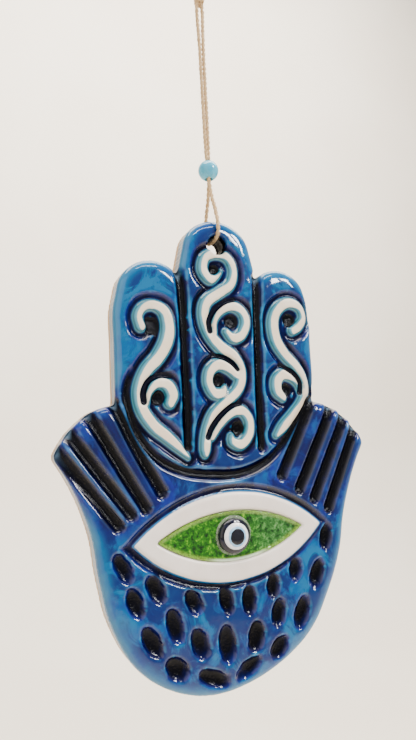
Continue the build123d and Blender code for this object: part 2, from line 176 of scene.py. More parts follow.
# Grooves between the fingers, under them, and across the thumbs: across and up. The sweep
# also has what it loses of its width, which lets it fade out at its upper left end.
FINGER_GROOVES = [
    [(-16.0, 147.0), (-15.4, 138.0), (-15.3, 118.0), (-15.4, 100.0), (-15.6, 84.0)],
    [(16.3, 148.0), (15.6, 138.0), (14.9, 118.0), (14.3, 100.0), (14.0, 82.5)],
]
SWEEP = [
    (-33.8, 115.0, -2.8), (-36.0, 110.5, -1.0), (-37.3, 104.5, 0.0), (-36.5, 97.6, 0.0),
    (-33.4, 88.6, 0.0), (-27.2, 80.8, 0.0), (-17.8, 75.7, 0.0), (-6.0, 73.7, 0.0),
    (5.0, 73.7, 0.0), (15.0, 77.0, 0.0), (22.5, 82.8, 0.0), (29.7, 91.2, 0.0), (35.6, 99.6, 0.0),
]
THUMB_GROOVES = [
    [(-62.5, 87.0), (-52.0, 73.0), (-41.8, 59.6)], [(-58.3, 92.0), (-48.2, 77.6), (-37.3, 62.9)],
    [(-51.4, 97.6), (-42.2, 81.6), (-32.3, 64.6)], [(-41.8, 99.8), (-34.6, 84.4), (-26.4, 69.2)],
    [(37.6, 100.0), (29.8, 86.2), (21.5, 71.8)], [(46.6, 96.7), (38.0, 81.6), (29.0, 66.2)],
    [(53.0, 93.6), (44.2, 78.0), (35.3, 62.0)], [(58.2, 89.8), (49.8, 73.9), (41.5, 57.9)],
]

# Dimples of the palm: across, up, half width, length over width, lean in degrees
DIMPLES = [
    (-41.0, 46.8, 2.6, 1.8, 28), (-37.3, 35.4, 2.6, 1.7, 20), (-30.2, 38.7, 2.8, 1.6, 27),
    (-32.1, 22.4, 2.7, 1.8, 28), (-23.8, 26.2, 2.8, 1.8, 15), (-16.7, 32.5, 2.7, 1.5, 28),
    (-23.9, 12.2, 3.2, 1.25, 50), (-15.0, 18.8, 3.0, 1.5, 20), (-4.3, 31.2, 2.5, 1.7, 12),
    (-4.8, 17.1, 3.1, 1.8, 5), (-11.0, 6.4, 2.6, 2.1, 65), (4.8, 30.2, 2.7, 1.65, -2),
    (6.9, 17.5, 3.1, 1.45, -12), (3.8, 7.1, 2.6, 1.8, -65), (14.8, 33.3, 2.5, 1.5, -5),
    (16.5, 23.8, 2.7, 1.6, -12), (16.3, 11.8, 2.9, 1.3, -45), (24.8, 37.8, 2.6, 1.4, -10),
    (26.5, 22.4, 3.0, 1.7, -22), (34.2, 35.0, 2.8, 1.7, -22), (39.3, 47.9, 2.6, 1.7, -15),
]

# The twine with its plies and fibres, how close the points along it and its knot lie, the
# knot's wraps, and the bead's bore
PLY_RADIUS = 0.00047
PLY_OFFSET = 0.00033
PLY_TURN = 0.0042
FIBRE_RADIUS = 0.00003
YARN_SPACING = 0.00045
KNOT_SPACING = 0.0003
WRAPS = 3.6
WRAP_RADIUS = 0.00145
WRAP_FOOT = 0.0027
WRAP_RISE = 0.0040
BEAD_BORE = 0.00152

# The twine's line: the same corners as the CAD model's
TWINE_ROUTE = [
    (-0.0007, 0.0, 0.0036), (-0.0015, 0.0, 0.0004), (-0.0007, 0.0, -0.014), (-0.0007, 0.0, -0.0738),
    (-0.0001, -0.00615, -0.09), (0.0, -0.00605, -0.0985), (0.0, 0.00605, -0.0985),
    (0.0001, 0.00615, -0.09), (0.0007, 0.0, -0.0738), (0.0007, 0.0, -0.014),
    (0.0015, 0.0, 0.0004), (0.0007, 0.0, 0.0036),
]


# Materials

def colour(code):
    """A linear colour from its web code."""
    parts = [int(code[i:i + 2], 16) / 255 for i in (1, 3, 5)]
    return [p / 12.92 if p <= 0.04045 else ((p + 0.055) / 1.055) ** 2.4 for p in parts] + [1.0]


class Finish:
    """A material under construction: its nodes, and the shader they feed."""

    def __init__(self, name, roughness):
        self.material = bpy.data.materials.new(name)
        self.material.use_nodes = True
        self.tree = self.material.node_tree
        self.shader = self.tree.nodes["Principled BSDF"]
        self.shader.inputs["Roughness"].default_value = roughness
        self.place = self.node("ShaderNodeTexCoord").outputs["Object"]

    def node(self, kind, **settings):
        made = self.tree.nodes.new(kind)
        for key, value in settings.items():
            setattr(made, key, value)
        return made

    def put(self, socket, value):
        """Feeds a socket from another one, or sets its value."""
        if isinstance(value, bpy.types.NodeSocket):
            self.tree.links.new(value, socket)
        else:
            socket.default_value = value

    def attribute(self, name):
        return self.node("ShaderNodeAttribute", attribute_name=name).outputs["Fac"]

    def grain(self, scale, detail=2.0, stretch=None, rough=0.5, warp=0.0):
        """Noise in the object's own space; scale counts spots per metre."""
        place = self.place
        if stretch:
            mapping = self.node("ShaderNodeMapping")
            self.put(mapping.inputs["Vector"], place)
            mapping.inputs["Scale"].default_value = stretch
            place = mapping.outputs["Vector"]
        spots = self.node("ShaderNodeTexNoise")
        self.put(spots.inputs["Vector"], place)
        spots.inputs["Scale"].default_value = scale
        spots.inputs["Detail"].default_value = detail
        spots.inputs["Roughness"].default_value = rough
        spots.inputs["Distortion"].default_value = warp
        return spots.outputs["Fac"]

    def math(self, how, first, second=0.0, third=0.0):
        made = self.node("ShaderNodeMath", operation=how)
        for socket, value in zip(made.inputs, (first, second, third)):
            self.put(socket, value)
        return made.outputs[0]

    def times(self, first, second):
        return self.math("MULTIPLY", first, second)

    def swing(self, value, middle, amount):
        """How far a value is from its middle, scaled."""
        return self.times(self.math("SUBTRACT", value, middle), amount)

    def between(self, value, low, high, to_low=0.0, to_high=1.0):
        """A smooth step of a value from low to high."""
        made = self.node("ShaderNodeMapRange", interpolation_type="SMOOTHSTEP")
        for name, number in (
            ("Value", value), ("From Min", low), ("From Max", high),
            ("To Min", to_low), ("To Max", to_high),
        ):
            self.put(made.inputs[name], number)
        return made.outputs["Result"]

    def ramp(self, value, stops):
        """Colours along a value, as (position, web code)."""
        made = self.node("ShaderNodeValToRGB")
        elements = made.color_ramp.elements
        while len(elements) < len(stops):
            elements.new(0.5)
        for element, (position, code) in zip(elements, stops):
            element.position = position
            element.color = colour(code)
        self.put(made.inputs["Fac"], value)
        return made.outputs["Color"]

    def mix(self, share, first, second, how="MIX"):
        """Two colours mixed by a share."""
        made = self.node("ShaderNodeMix", data_type="RGBA", blend_type=how)
        self.put(made.inputs["Factor"], share)
        self.put(made.inputs["A"], colour(first) if isinstance(first, str) else first)
        self.put(made.inputs["B"], colour(second) if isinstance(second, str) else second)
        return made.outputs["Result"]

    def mix_of(self, share, first, second):
        """Two values mixed by a share."""
        return self.math("MULTIPLY_ADD", share, self.math("SUBTRACT", second, first), first)

    def bump(self, height, strength, distance, below=None):
        made = self.node("ShaderNodeBump")
        made.inputs["Strength"].default_value = strength
        made.inputs["Distance"].default_value = distance
        self.put(made.inputs["Height"], height)
        if below is not None:
            self.put(made.inputs["Normal"], below)
        return made.outputs["Normal"]

    def shaded(self, **sockets):
        """Feeds the shader's sockets by name and returns the material."""
        for name, value in sockets.items():
            self.put(self.shader.inputs[name.replace("_", " ")], value)
        return self.material


def blue_glaze(look, cloud, drift):
    """The blue: dark where it pools, clouded on the flats, pale over the edges and the slopes."""
    depth, scroll = look.attribute("depth"), look.attribute("scroll")
    rim, cobalt = look.attribute("rim"), look.attribute("cobalt")
    pool = look.math("DIVIDE", look.math("ADD", depth, look.swing(cloud, 0.47, 1.5)), 2.0)
    turquoise = look.ramp(pool, [
        (0.0, "#005e8e"), (0.11, "#004a86"), (0.22, "#022d7c"),
        (0.42, "#071f62"), (0.66, "#07123c"), (0.92, "#03050e"),
    ])
    ultramarine = look.ramp(pool, [
        (0.0, "#0a1e78"), (0.09, "#0a1466"), (0.22, "#0a0d4c"),
        (0.36, "#090b34"), (0.52, "#06071e"), (0.78, "#03040c"),
    ])
    deep_share = look.times(cobalt, look.between(drift, 0.3, 0.62, 0.55, 1.0))
    blue = look.mix(deep_share, turquoise, ultramarine)

    patches = look.between(look.grain(75, 5, rough=0.7, warp=0.9), 0.41, 0.55)
    patches = look.times(patches, look.between(rim, 1.5, 5.0))
    blue = look.mix(look.times(patches, 0.85), blue, look.mix(1.0, blue, "#2c42a0", "MULTIPLY"))
    hollow = look.between(look.attribute("near"), 0.12, 0.6)
    pooling = look.times(hollow, look.between(cloud, 0.35, 0.6, 0.5, 0.9))
    blue = look.mix(pooling, blue, look.mix(1.0, blue, "#5a6ad0", "MULTIPLY"))

    edge = look.between(look.attribute("ridge"), 0.07, 0.5)
    broken = look.times(edge, look.between(drift, 0.25, 0.6, 0.4, 1.0))
    breaking = look.mix(look.times(cobalt, 0.6), "#1685b8", "#4a7cc8")
    blue = look.mix(look.times(broken, 0.8), blue, breaking)
    # Paler towards the outline, except on the cobalt parts.
    paler_near_outline = look.times(look.between(rim, 2.6, 0.2), look.math("SUBTRACT", 1.0, cobalt))
    blue = look.mix(look.times(paler_near_outline, 0.4), blue, "#4b86a0")

    slope = look.times(look.between(scroll, 1.2, 0.5), look.between(depth, 1.7, 0.9))
    slope_paint = look.ramp(look.between(scroll, -1.0, 1.0), [
        (0.0, "#5495a6"), (0.3, "#2a748c"), (0.55, "#185864"), (0.78, "#3d7e8e"), (1.0, "#0a3e74"),
    ])
    return look.mix(slope, blue, slope_paint)


def cream_paint(look, blue, cloud, drift):
    """Cream on the scroll tops and the eye's almond, with dark slits and a pale line round the eye."""
    eye = look.attribute("eye")
    edge = look.math("ADD", look.attribute("cream"), look.swing(drift, 0.5, 0.6))
    cream = look.mix(look.between(cloud, 0.3, 0.7), "#e2d0b8", "#eadcc8")
    painted = look.mix(look.between(edge, -0.05, -0.35), blue, cream)
    painted = look.mix(look.between(look.attribute("slit"), 0.3, 0.0), painted, "#070a1c")
    lined = look.times(look.between(eye, 0.75, 0.35), look.between(eye, -0.1, 0.1))
    painted = look.mix(look.times(lined, 0.65), painted, "#2f80b8")
    eye_edge = look.math("ADD", eye, look.swing(drift, 0.5, 0.35))
    eye_cream = look.mix(look.between(cloud, 0.3, 0.7), "#e9dcd2", "#f0e6de")
    return look.mix(look.between(eye_edge, 0.15, -0.15), painted, eye_cream)


def glaze_material():
    """Blue glaze over carved clay, glossy on the face and greyer on the side, with cream paint on
    the scrolls and the eye; the foot of the side and the back are bare clay, its tone darkened
    as painted shade, and the hanging hole's bore is painted near-black as shade."""
    look = Finish("glaze", 0.08)
    cloud = look.grain(90, 4, rough=0.6)
    drift = look.grain(260, 3)
    painted = cream_paint(look, blue_glaze(look, cloud, drift), cloud, drift)

    level, depth = look.attribute("level"), look.attribute("depth")
    side = look.between(level, -2.4, -3.4)
    painted = look.mix(side, painted, look.mix(look.between(cloud, 0.35, 0.65), "#26374c", "#4a6074"))
    # Bare clay at the foot of the side and on the back; its tones are darkened to include painted shade
    # on the side.
    clay = look.mix(look.between(look.grain(1400, 2), 0.35, 0.65), "#ae8c69", "#bf9f7c")
    clay = look.mix(look.between(cloud, 0.35, 0.7), clay, "#b69775")
    bare = look.between(look.math("ADD", level, look.swing(cloud, 0.5, 1.6)), -7.0, -7.5)
    painted = look.mix(bare, painted, clay)
    # The hanging hole's bore is painted near-black as shade, and made matt with almost no reflection.
    inside = look.times(look.between(look.attribute("hole"), 0.75, 0.25), look.between(level, -9.6, -9.2))
    painted = look.mix(inside, painted, "#020204")

    scroll_top = look.between(look.attribute("cream"), 0.0, -0.3)
    almond = look.between(look.attribute("eye"), 0.1, -0.2)
    roughness = look.mix_of(look.math("MAXIMUM", scroll_top, almond), 0.07, 0.33)
    for share, value in ((inside, 0.9), (side, 0.3), (bare, 0.9)):
        roughness = look.mix_of(share, roughness, value)
    sheen = look.mix_of(inside, look.between(depth, 0.4, 1.4, 0.5, 0.13), 0.02)
    swell = look.bump(look.grain(300, 2), 0.16, 0.0003)
    pitted = look.bump(look.grain(2600, 3), 0.08, 0.00004, swell)
    crumbs = look.times(look.grain(1300, 3, rough=0.65), look.between(depth, 1.0, 1.9))
    pitted = look.bump(crumbs, 0.5, 0.0004, pitted)
    return look.shaded(Base_Color=painted, Roughness=roughness, Specular_IOR_Level=sheen, Normal=pitted)


def green_glass_material():
    """Crackled green glass: lime where it is thin, hazy to the right, with a pale highlight painted along
    its lower edge.
    """
    look = Finish("green_glass", 0.06)
    bed = look.attribute("bed")
    across = look.attribute("across")
    blotch = look.grain(520, 4, rough=0.62, warp=0.5)
    crumb = look.grain(1500, 3, rough=0.6)
    mixed = look.math("ADD", look.times(blotch, 0.65), look.times(crumb, 0.35))
    green = look.ramp(mixed, [
        (0.34, "#082403"), (0.43, "#0f3f05"), (0.5, "#1b5c08"), (0.57, "#357a0f"), (0.68, "#86b42a"),
    ])
    hazy = look.ramp(mixed, [
        (0.36, "#0a2c08"), (0.45, "#1c4c18"), (0.53, "#356a2e"), (0.64, "#64905c"),
    ])
    glass = look.mix(look.between(across, 2.0, 16.0, 0.0, 0.85), green, hazy)
    lime = look.times(look.between(bed, -1.9, -0.2), look.between(crumb, 0.35, 0.6, 0.4, 1.0))
    glass = look.mix(look.times(lime, 0.7), glass, "#8cb03c")
    # A pale highlight is painted along the lower middle of the glass's edge.
    low = look.between(look.attribute("below"), 4.5, 6.5)
    painted_highlight = look.times(look.between(bed, -1.2, -0.4), low)
    painted_highlight = look.times(painted_highlight, look.between(across, -12.0, -4.0))
    painted_highlight = look.times(painted_highlight, look.between(across, 15.0, 8.0, 0.0, 0.75))
    glass = look.mix(painted_highlight, glass, "#dbe8d6")
    swell = look.bump(look.grain(700, 3), 0.3, 0.0003)
    return look.shaded(Base_Color=glass, Normal=swell)


def bead_glass_material(name, dark, light, scale):
    """Glossy opaque glass with faint streaks of a second tone."""
    look = Finish(name, 0.06)
    streaks = look.between(look.grain(scale, 3, warp=0.8), 0.38, 0.66)
    swell = look.bump(look.grain(500, 2), 0.08, 0.0002)
    return look.shaded(Base_Color=look.mix(streaks, dark, light), Normal=swell)


def glue_material():
    """Clear glue with a faint warm tint."""
    look = Finish("glue", 0.08)
    look.shader.inputs["Alpha"].default_value = 0.14
    look.material.surface_render_method = "BLENDED"
    tint = look.mix(look.between(look.grain(600, 2), 0.4, 0.6), "#c9d2b8", "#e4e6d8")
    swell = look.bump(look.grain(900, 2), 0.2, 0.0002)
    return look.shaded(Base_Color=tint, Normal=swell)


def jute_material():
    """Dry jute: long pale and brown fibres along the strand."""
    look = Finish("jute", 0.85)
    look.shader.inputs["Sheen Weight"].default_value = 0.25
    fibre = look.grain(1.0, 4, stretch=(5200, 5200, 700), rough=0.7)
    blot = look.grain(300, 3)
    tone = look.ramp(fibre, [(0.3, "#94714a"), (0.48, "#c4a273"), (0.7, "#e2c79c")])
    tone = look.mix(look.between(blot, 0.45, 0.7, 0.0, 0.4), tone, "#a57f4c")
    ruck = look.bump(fibre, 0.8, 0.00015)
    return look.shaded(Base_Color=tone, Normal=ruck)


def stage_material():
    """Plain pale paint for the floor and backdrop."""
    look = Finish("pale_stage", 0.9)
    tone = look.mix(look.between(look.grain(3, 2), 0.3, 0.7), "#e8e1d6", "#ebe6dc")
    return look.shaded(Base_Color=tone)


# Making pieces

def deselect():
    if bpy.context.mode != "OBJECT":
        bpy.ops.object.mode_set(mode="OBJECT")
    bpy.ops.object.select_all(action="DESELECT")


def edit(piece):
    """Opens a piece for editing, alone, picking its points."""
    deselect()
    piece.select_set(True)
    bpy.context.view_layer.objects.active = piece
    bpy.ops.object.mode_set(mode="EDIT")
    bpy.ops.mesh.select_mode(type="VERT")


def done():
    bpy.ops.object.mode_set(mode="OBJECT")
    return bpy.context.object


def pick_all():
    bpy.ops.mesh.select_all(action="SELECT")


def face_out():
    """Turns all faces of the opened piece outward."""
    pick_all()
    bpy.ops.mesh.normals_make_consistent(inside=False)


def smooth_below(angle):
    """Smooth shading, except over edges sharper than this many degrees."""
    bpy.ops.object.shade_smooth_by_angle(angle=math.radians(angle))


def copy_of(node, name):
    """A loose copy of a CAD node's mesh, its doubles merged."""
    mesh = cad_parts[node].data.copy()
    piece = bpy.data.objects.new(name, mesh)
    bpy.context.collection.objects.link(piece)
    mesh.materials.clear()
    edit(piece)
    pick_all()
    bpy.ops.mesh.remove_doubles(threshold=2e-6)
    return done()


def settled(piece):
    """Puts a piece's place into its mesh."""
    deselect()
    piece.select_set(True)
    bpy.context.view_layer.objects.active = piece
    bpy.ops.object.transform_apply(location=True, rotation=True, scale=True)


def dress(piece, material, slot, body, *nodes):
    """Gives a piece its material and body, and hides the CAD nodes that it stands for; the slot is not
    used.
    """
    piece.data.materials.clear()
    piece.data.materials.append(material)
    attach(piece, body)
    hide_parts(*nodes)
    return piece


def read_places(mesh):
    """A mesh's points as an array."""
    flat = np.empty(len(mesh.vertices) * 3)
    mesh.vertices.foreach_get("co", flat)
    return flat.reshape(-1, 3)


def on_face(places):
    """Places in metres as the plaque is drawn: across and up, in millimetres."""
    return np.column_stack([places[:, 0] / MM, places[:, 2] / MM - FOOT_Z])


def write_places(mesh, places):
    mesh.vertices.foreach_set("co", places.ravel())
    mesh.update()


def keep_value(mesh, name, values):
    """Stores one number for each point, for the material to read."""
    layer = mesh.attributes.new(name, "FLOAT", "POINT")
    layer.data.foreach_set("value", np.asarray(values, np.float32))


# The plaque

def smooth_line(points, spacing=0.7):
    """Points along a smooth curve through given ones, with whatever else they carry."""
    points = np.array(points, float)
    ends = np.vstack([2 * points[0] - points[1], points, 2 * points[-1] - points[-2]])
    parts = []
    for i in range(1, len(ends) - 2):
        before, here, there, after = ends[i - 1:i + 3]
        count = max(2, int(np.linalg.norm((there - here)[:2]) / spacing))
        t = (np.arange(count) / count)[:, None]
        parts.append(0.5 * (
            2 * here + (there - before) * t + (2 * before - 5 * here + 4 * there - after) * t**2
            + (3 * here - before - 3 * there + after) * t**3
        ))
    return np.vstack(parts + [points[-1:]])


def from_line(places, starts, ends):
    """Distance of each place from a set of segments less their half width, and the nearest point.
    It works in batches, to spare memory."""
    batch = 3000
    span = (ends - starts)[:, :2]
    length = np.maximum((span**2).sum(1), 1e-9)
    best = np.empty(len(places))
    nearest = np.empty((len(places), 2))
    for at in range(0, len(places), batch):
        part = places[at:at + batch]
        offset = part[:, None, :] - starts[None, :, :2]
        t = np.clip((offset * span).sum(2) / length, 0, 1)
        gap = np.linalg.norm(offset - t[:, :, None] * span, axis=2)
        if starts.shape[1] > 2:
            gap = gap - (starts[:, 2] + t * (ends - starts)[:, 2])
        pick = gap.argmin(1)
        row = np.arange(len(part))
        best[at:at + batch] = gap[row, pick]
        nearest[at:at + batch] = starts[pick, :2] + t[row, pick][:, None] * span[pick]
    return best, nearest


def near_line(places, line):
    """Distance from one line, worked out only where it is near."""
    line = smooth_line(line)
    low = line[:, :2].min(0) - FAR
    high = line[:, :2].max(0) + FAR
    near = ((places > low) & (places < high)).all(1)
    away = np.full(len(places), FAR)
    if near.any():
        away[near] = from_line(places[near], line[:-1], line[1:])[0]
    return away


def near_any(places, lines):
    return np.min([near_line(places, line) for line in lines], axis=0)


def from_almond(places, half, rise, drop):
    """Distance outside a pointed oval round the eye's centre, less than nothing inside it."""
    sides = []
    for reach in (rise, -drop):
        radius = (half**2 + reach**2) / (2 * abs(reach))
        middle = EYE_UP + reach - math.copysign(radius, reach)
        sides.append(np.hypot(places[:, 0], places[:, 1] - middle) - radius)
    return np.maximum(*sides)


def past_hole(places):
    """Distance outside the hanging hole."""
    return np.hypot(places[:, 0] - HOLE[0], places[:, 1] - HOLE[1]) - HOLE_RADIUS


def step(value, low, high):
    """A smooth step from nothing at low to one at high."""
    t = np.clip((value - low) / (high - low), 0, 1)
    return t * t * (3 - 2 * t)


def trough(away, half, depth, sharpness):
    """A rounded groove's height, from the distance to its line."""
    t = np.clip(away / half, 0, 1)
    return -depth * (1 - t**2) ** sharpness


def waviness(places, size, seed):
    """Gentle unevenness of hand-pressed clay."""
    return np.array([noise.noise((x / size, y / size, seed)) for x, y in places])


def averaged(mesh, values, rounds):
    """The values at a mesh's points, evened out between neighbours."""
    ends = np.empty(len(mesh.edges) * 2, int)
    mesh.edges.foreach_get("vertices", ends)
    a, b = ends.reshape(-1, 2).T
    count = len(values)
    links = np.maximum(np.bincount(a, minlength=count) + np.bincount(b, minlength=count), 1)
    for _ in range(rounds):
        total = np.bincount(a, values[b], count) + np.bincount(b, values[a], count)
        values = 0.5 * values + 0.5 * total / links
    return values


def scroll_carving(places):
    """Height of the ground round the scrolls, with the distances that their paint follows."""
    across, up = places.T
    scroll = near_any(places, SCROLLS)
    slit = near_any(places, SLITS) - SLIT_EASE
    cream = np.maximum(scroll, near_any(places - [SLOPE_WIDTH, 0], SCROLLS))
    groove = near_any(places, FINGER_GROOVES)
    pool = np.full(len(places), FAR)
    for x, y, radius in POOLS:
        pool = np.minimum(pool, np.hypot(across - x, up - y) / radius)

    moat = -MOAT_DEPTH * step(scroll, -0.12, 0.95) * (1 - step(scroll, 1.7, 3.6))
    slope = -SLOPE_DEPTH * step(cream, -0.1, 1.1) * (1 - step(scroll, 0.0, 1.4))
    curl = -CURL_DEPTH * (1 - step(pool, 0.8, 1.15)) * step(cream, 0.0, 0.8)
    ground = np.minimum(np.minimum(moat, slope), curl)
    ground = ground * (1 - (1 - step(groove, 1.4, 3.0)) * step(scroll, 0.5, 1.6))
    cut = ground + SCROLL_LIFT * (1 - step(scroll, -0.9, 0.0))
    cut = np.minimum(cut, -SLIT_DEPTH * (1 - step(slit, -0.3, 0.35)))
    cut = np.minimum(cut, trough(groove, *FINGER_GROOVE))
    return cut, {"scroll": scroll, "cream": np.maximum(cream, -slit), "slit": slit}


def dimple_carving(places):
    """Height of the palm's dimples, fuller below than above and a little uneven."""
    across, up = places.T
    dimple = np.full(len(places), FAR)
    for x, y, half, slimness, lean in DIMPLES:
        turn = math.radians(lean)
        along = (across - x) * -math.sin(turn) + (up - y) * math.cos(turn)
        aside = (across - x) * math.cos(turn) + (up - y) * math.sin(turn)
        half = half * DIMPLE_SPREAD
        half = half * (1 - DIMPLE_TAPER * np.clip(along / (half * slimness), -1, 1))
        dimple = np.minimum(dimple, np.hypot(aside / half, along / (half * slimness * DIMPLE_STRETCH)))
    dimple = dimple + 0.09 * waviness(places, 2.6, 3.0) + 0.06 * waviness(places, 1.3, 5.0)
    return -DIMPLE_DEPTH * np.clip(1 - np.clip(dimple, 0, FAR) ** 2.6, 0, 1) ** 0.7


def eye_carving(places, cut):
    """The carving with the eye's groove and its raised almond, whose bed is sunk for the glass."""
    across, up = places.T
    eye = from_almond(places, *EYE_ALMOND)
    bed = from_almond(places, *EYE_BED)
    ends = [-EYE_ALMOND[0] - 0.3, 0, EYE_ALMOND[0] + 0.3]
    above = np.interp(across, ends, [2.8, 3.1, 2.8])
    below = np.interp(across, ends, [3.8, 2.6, 1.4])
    wide = np.where(up > EYE_UP, above, below)
    deep = np.where(up > EYE_UP, 1.15, 1.6)
    t = np.clip(2 * eye / wide - 1, -1, 1)
    groove = -deep * (1 - t**2) ** 0.8 * step(wide, 0.5, 2.2)
    almond = 0.15 - 0.5 * step(eye, -0.9, 0.0) - BED_DEPTH * (1 - step(bed, -0.4, 0.5))
    cut = np.where(eye > 0, np.minimum(cut, groove), cut)
    return np.where(eye < 0, almond, cut), eye


def relief(places, rim):
    """Height of the carved face at each place, with what the glaze does there."""
    across, up = places.T
    inward = 1 - np.clip(rim / PILLOW_WIDTH, 0, 1)
    pillow = -PILLOW_DROP * (1 - np.sqrt(1 - inward**2))
    hole = past_hole(places)

    cut, glaze = scroll_carving(places)
    cut = np.minimum(cut, trough(near_line(places, SWEEP), *SWEEP_GROOVE))
    thumb = near_any(places, THUMB_GROOVES)
    cut = np.minimum(cut, trough(thumb, *THUMB_GROOVE))
    cut = np.minimum(cut, dimple_carving(places))
    cut, eye = eye_carving(places, cut)
    cut = np.minimum(cut, -0.9 * (1 - np.clip(hole / 1.2, 0, 1)) ** 2 + 0.3)
    uneven = 0.10 * waviness(places, 9.0, 1.0) + 0.05 * waviness(places, 3.5, 7.0)

    near_thumb = 1 - step(thumb, 3.0, 8.0)
    above_eye = (1 - step(np.abs(up - 70), 4, 12)) * (1 - step(np.abs(across), 30, 42))
    glaze["cream"] = np.maximum(glaze["cream"], HOLE_COLLAR - hole)
    glaze["eye"] = eye
    glaze["cobalt"] = np.clip(near_thumb + 0.55 * above_eye, 0, 1)
    glaze["hole"] = hole
    return pillow + cut + uneven, cut, glaze


def plaque_blank():
    """The plaque's front as a thin slab of fine, even squares, cut to the CAD outline, and the
    segments of that outline."""
    piece = copy_of("hand", "glazed_hand")
    edit(piece)
    pick_all()
    bpy.ops.mesh.bisect(plane_co=(0, SLICE_Y * MM, 0), plane_no=(0, 1, 0), clear_inner=True)
    bpy.ops.mesh.select_all(action="INVERT")
    bpy.ops.mesh.delete(type="VERT")
    pick_all()
    bpy.ops.transform.translate(value=(0, (FACE_Y - SLICE_Y) * MM, 0))
    done()
    mesh = piece.data
    drawn = on_face(read_places(mesh))
    ends = np.array([edge.vertices[:] for edge in mesh.edges])
    edit(piece)
    pick_all()
    bpy.ops.mesh.fill(use_beauty=False)
    bpy.ops.mesh.extrude_region_move(TRANSFORM_OT_translate={"value": (0, SLAB * MM, 0)})
    face_out()
    done()
    mesh.remesh_voxel_size = GRID * MM
    mesh.use_remesh_preserve_volume = False
    bpy.ops.object.voxel_remesh()
    return piece, drawn[ends[:, 0]], drawn[ends[:, 1]]


def open_back(piece):
    """Takes off the slab's back and leaves its border selected."""
    mesh = piece.data
    edit(piece)
    bpy.ops.mesh.select_all(action="DESELECT")
    done()
    facing, centres = (np.empty(len(mesh.polygons) * 3) for _ in range(2))
    mesh.polygons.foreach_get("normal", facing)
    mesh.polygons.foreach_get("center", centres)
    behind = (facing[1::3] > 0.6) & (centres[1::3] > (FACE_Y + 0.9) * MM)
    mesh.polygons.foreach_set("select", behind)
    edit(piece)
    bpy.ops.mesh.delete(type="FACE")
    pick_all()
    bpy.ops.mesh.region_to_loop()
    done()


def carve(mesh, starts, ends):
    """Moves the slab's face into the carving and its thin side down over the edge, and keeps the
    values that the glaze follows."""
    places = read_places(mesh)
    drawn = on_face(places)
    down = places[:, 1] / MM - FACE_Y
    outer = past_hole((starts + ends) / 2) > 0.5
    rim, nearest = from_line(drawn, starts[outer], ends[outer])
    # The slab's own thin side lies against the outline or the hole, and behind the face
    side = (np.minimum(rim, past_hole(drawn)) < 0.25) & (down > 0.12)

    eased = np.where(rim < EASE_WIDTH, EASE_WIDTH * (rim / EASE_WIDTH) ** EASE_POWER, rim)
    share = np.where(rim > 1e-3, eased / np.maximum(rim, 1e-3), 1.0)[:, None]
    moved = np.where(side[:, None], drawn, nearest + (drawn - nearest) * share)
    rim = np.where(side, 0.0, eased)
    height, cut, glaze = relief(moved, rim)
    height = averaged(mesh, height, 3)
    height = np.where(side, height - (down / SLAB) * (EDGE_DROP + height), height)

    places[:, 0] = moved[:, 0] * MM
    places[:, 2] = (moved[:, 1] + FOOT_Z) * MM
    places[:, 1] = (FACE_Y - height) * MM
    write_places(mesh, places)
    keep_value(mesh, "cut", averaged(mesh, cut, 3))
    keep_value(mesh, "rim", rim)
    for name, values in glaze.items():
        keep_value(mesh, name, values)


def glazed_hand():
    """The ceramic plaque with its carving, its side and its back."""
    piece, starts, ends = plaque_blank()
    open_back(piece)
    carve(piece.data, starts, ends)
    edit(piece)
    pick_all()
    bpy.ops.mesh.vertices_smooth(factor=0.35, repeat=1)
    bpy.ops.mesh.region_to_loop()
    bpy.ops.mesh.select_mode(type="EDGE")
    for rise in SIDE_STEPS:
        bpy.ops.mesh.extrude_edges_move(TRANSFORM_OT_translate={"value": (0, rise * MM, 0)})
    done()
    level_border(piece.data)
    edit(piece)
    bpy.ops.mesh.fill(use_beauty=True)
    face_out()
    bpy.ops.mesh.quads_convert_to_tris(quad_method="BEAUTY", ngon_method="BEAUTY")
    done()
    shade_values(piece.data)
    smooth_below(88)
    return piece


def level_border(mesh):
    """Sets the last row of the side flat on the back, drawn in a little for an eased edge."""
    last = np.zeros(len(mesh.vertices), bool)
    mesh.vertices.foreach_get("select", last)
    places = read_places(mesh)
    drawn = on_face(places[last])
    at_hole = past_hole(drawn) < 1
    heading = np.where(at_hole[:, None], drawn - np.array(HOLE), np.array(MIDDLE) - drawn)
    heading /= np.linalg.norm(heading, axis=1)[:, None]
    places[last, 0] += heading[:, 0] * BACK_INSET * MM
    places[last, 2] += heading[:, 1] * BACK_INSET * MM
    places[last, 1] = BACK_Y * MM
    write_places(mesh, places)


def shade_values(mesh):
    """Works out, for the glaze, how deep each point lies and how sharply it stands out."""
    cut = np.empty(len(mesh.vertices))
    mesh.attributes["cut"].data.foreach_get("value", cut)
    soft = averaged(mesh, cut, 14)
    keep_value(mesh, "depth", np.clip(-cut, 0, 4))
    keep_value(mesh, "ridge", cut - soft)
    keep_value(mesh, "near", -averaged(mesh, soft, 46))
    keep_value(mesh, "level", -read_places(mesh)[:, 1] / MM + FACE_Y)
    mesh.attributes.remove(mesh.attributes["cut"])


# The eye

def melted_glass():
    """The pool of green glass, wavy on top, with its edge drawn up against the bed's wall."""
    piece = copy_of("eye_glass", "melted_glass")
    piece.data.remesh_voxel_size = 0.4 * MM
    bpy.ops.object.voxel_remesh()
    mesh = piece.data
    places = read_places(mesh)
    drawn = on_face(places)
    bed = from_almond(drawn, *EYE_BED)
    top = places[:, 1] < (FACE_Y + 0.9) * MM
    wave = 0.10 * waviness(drawn, 3.0, 3.0) + 0.06 * waviness(drawn, 1.4, 5.0)
    lip = 0.35 * step(bed, -1.6, -0.1)
    places[top, 1] -= ((wave + lip)[top] - 0.05) * MM
    write_places(mesh, places)
    keep_value(mesh, "bed", bed)
    keep_value(mesh, "across", drawn[:, 0])
    keep_value(mesh, "below", EYE_UP - drawn[:, 1])
    smooth_below(50)
    return piece


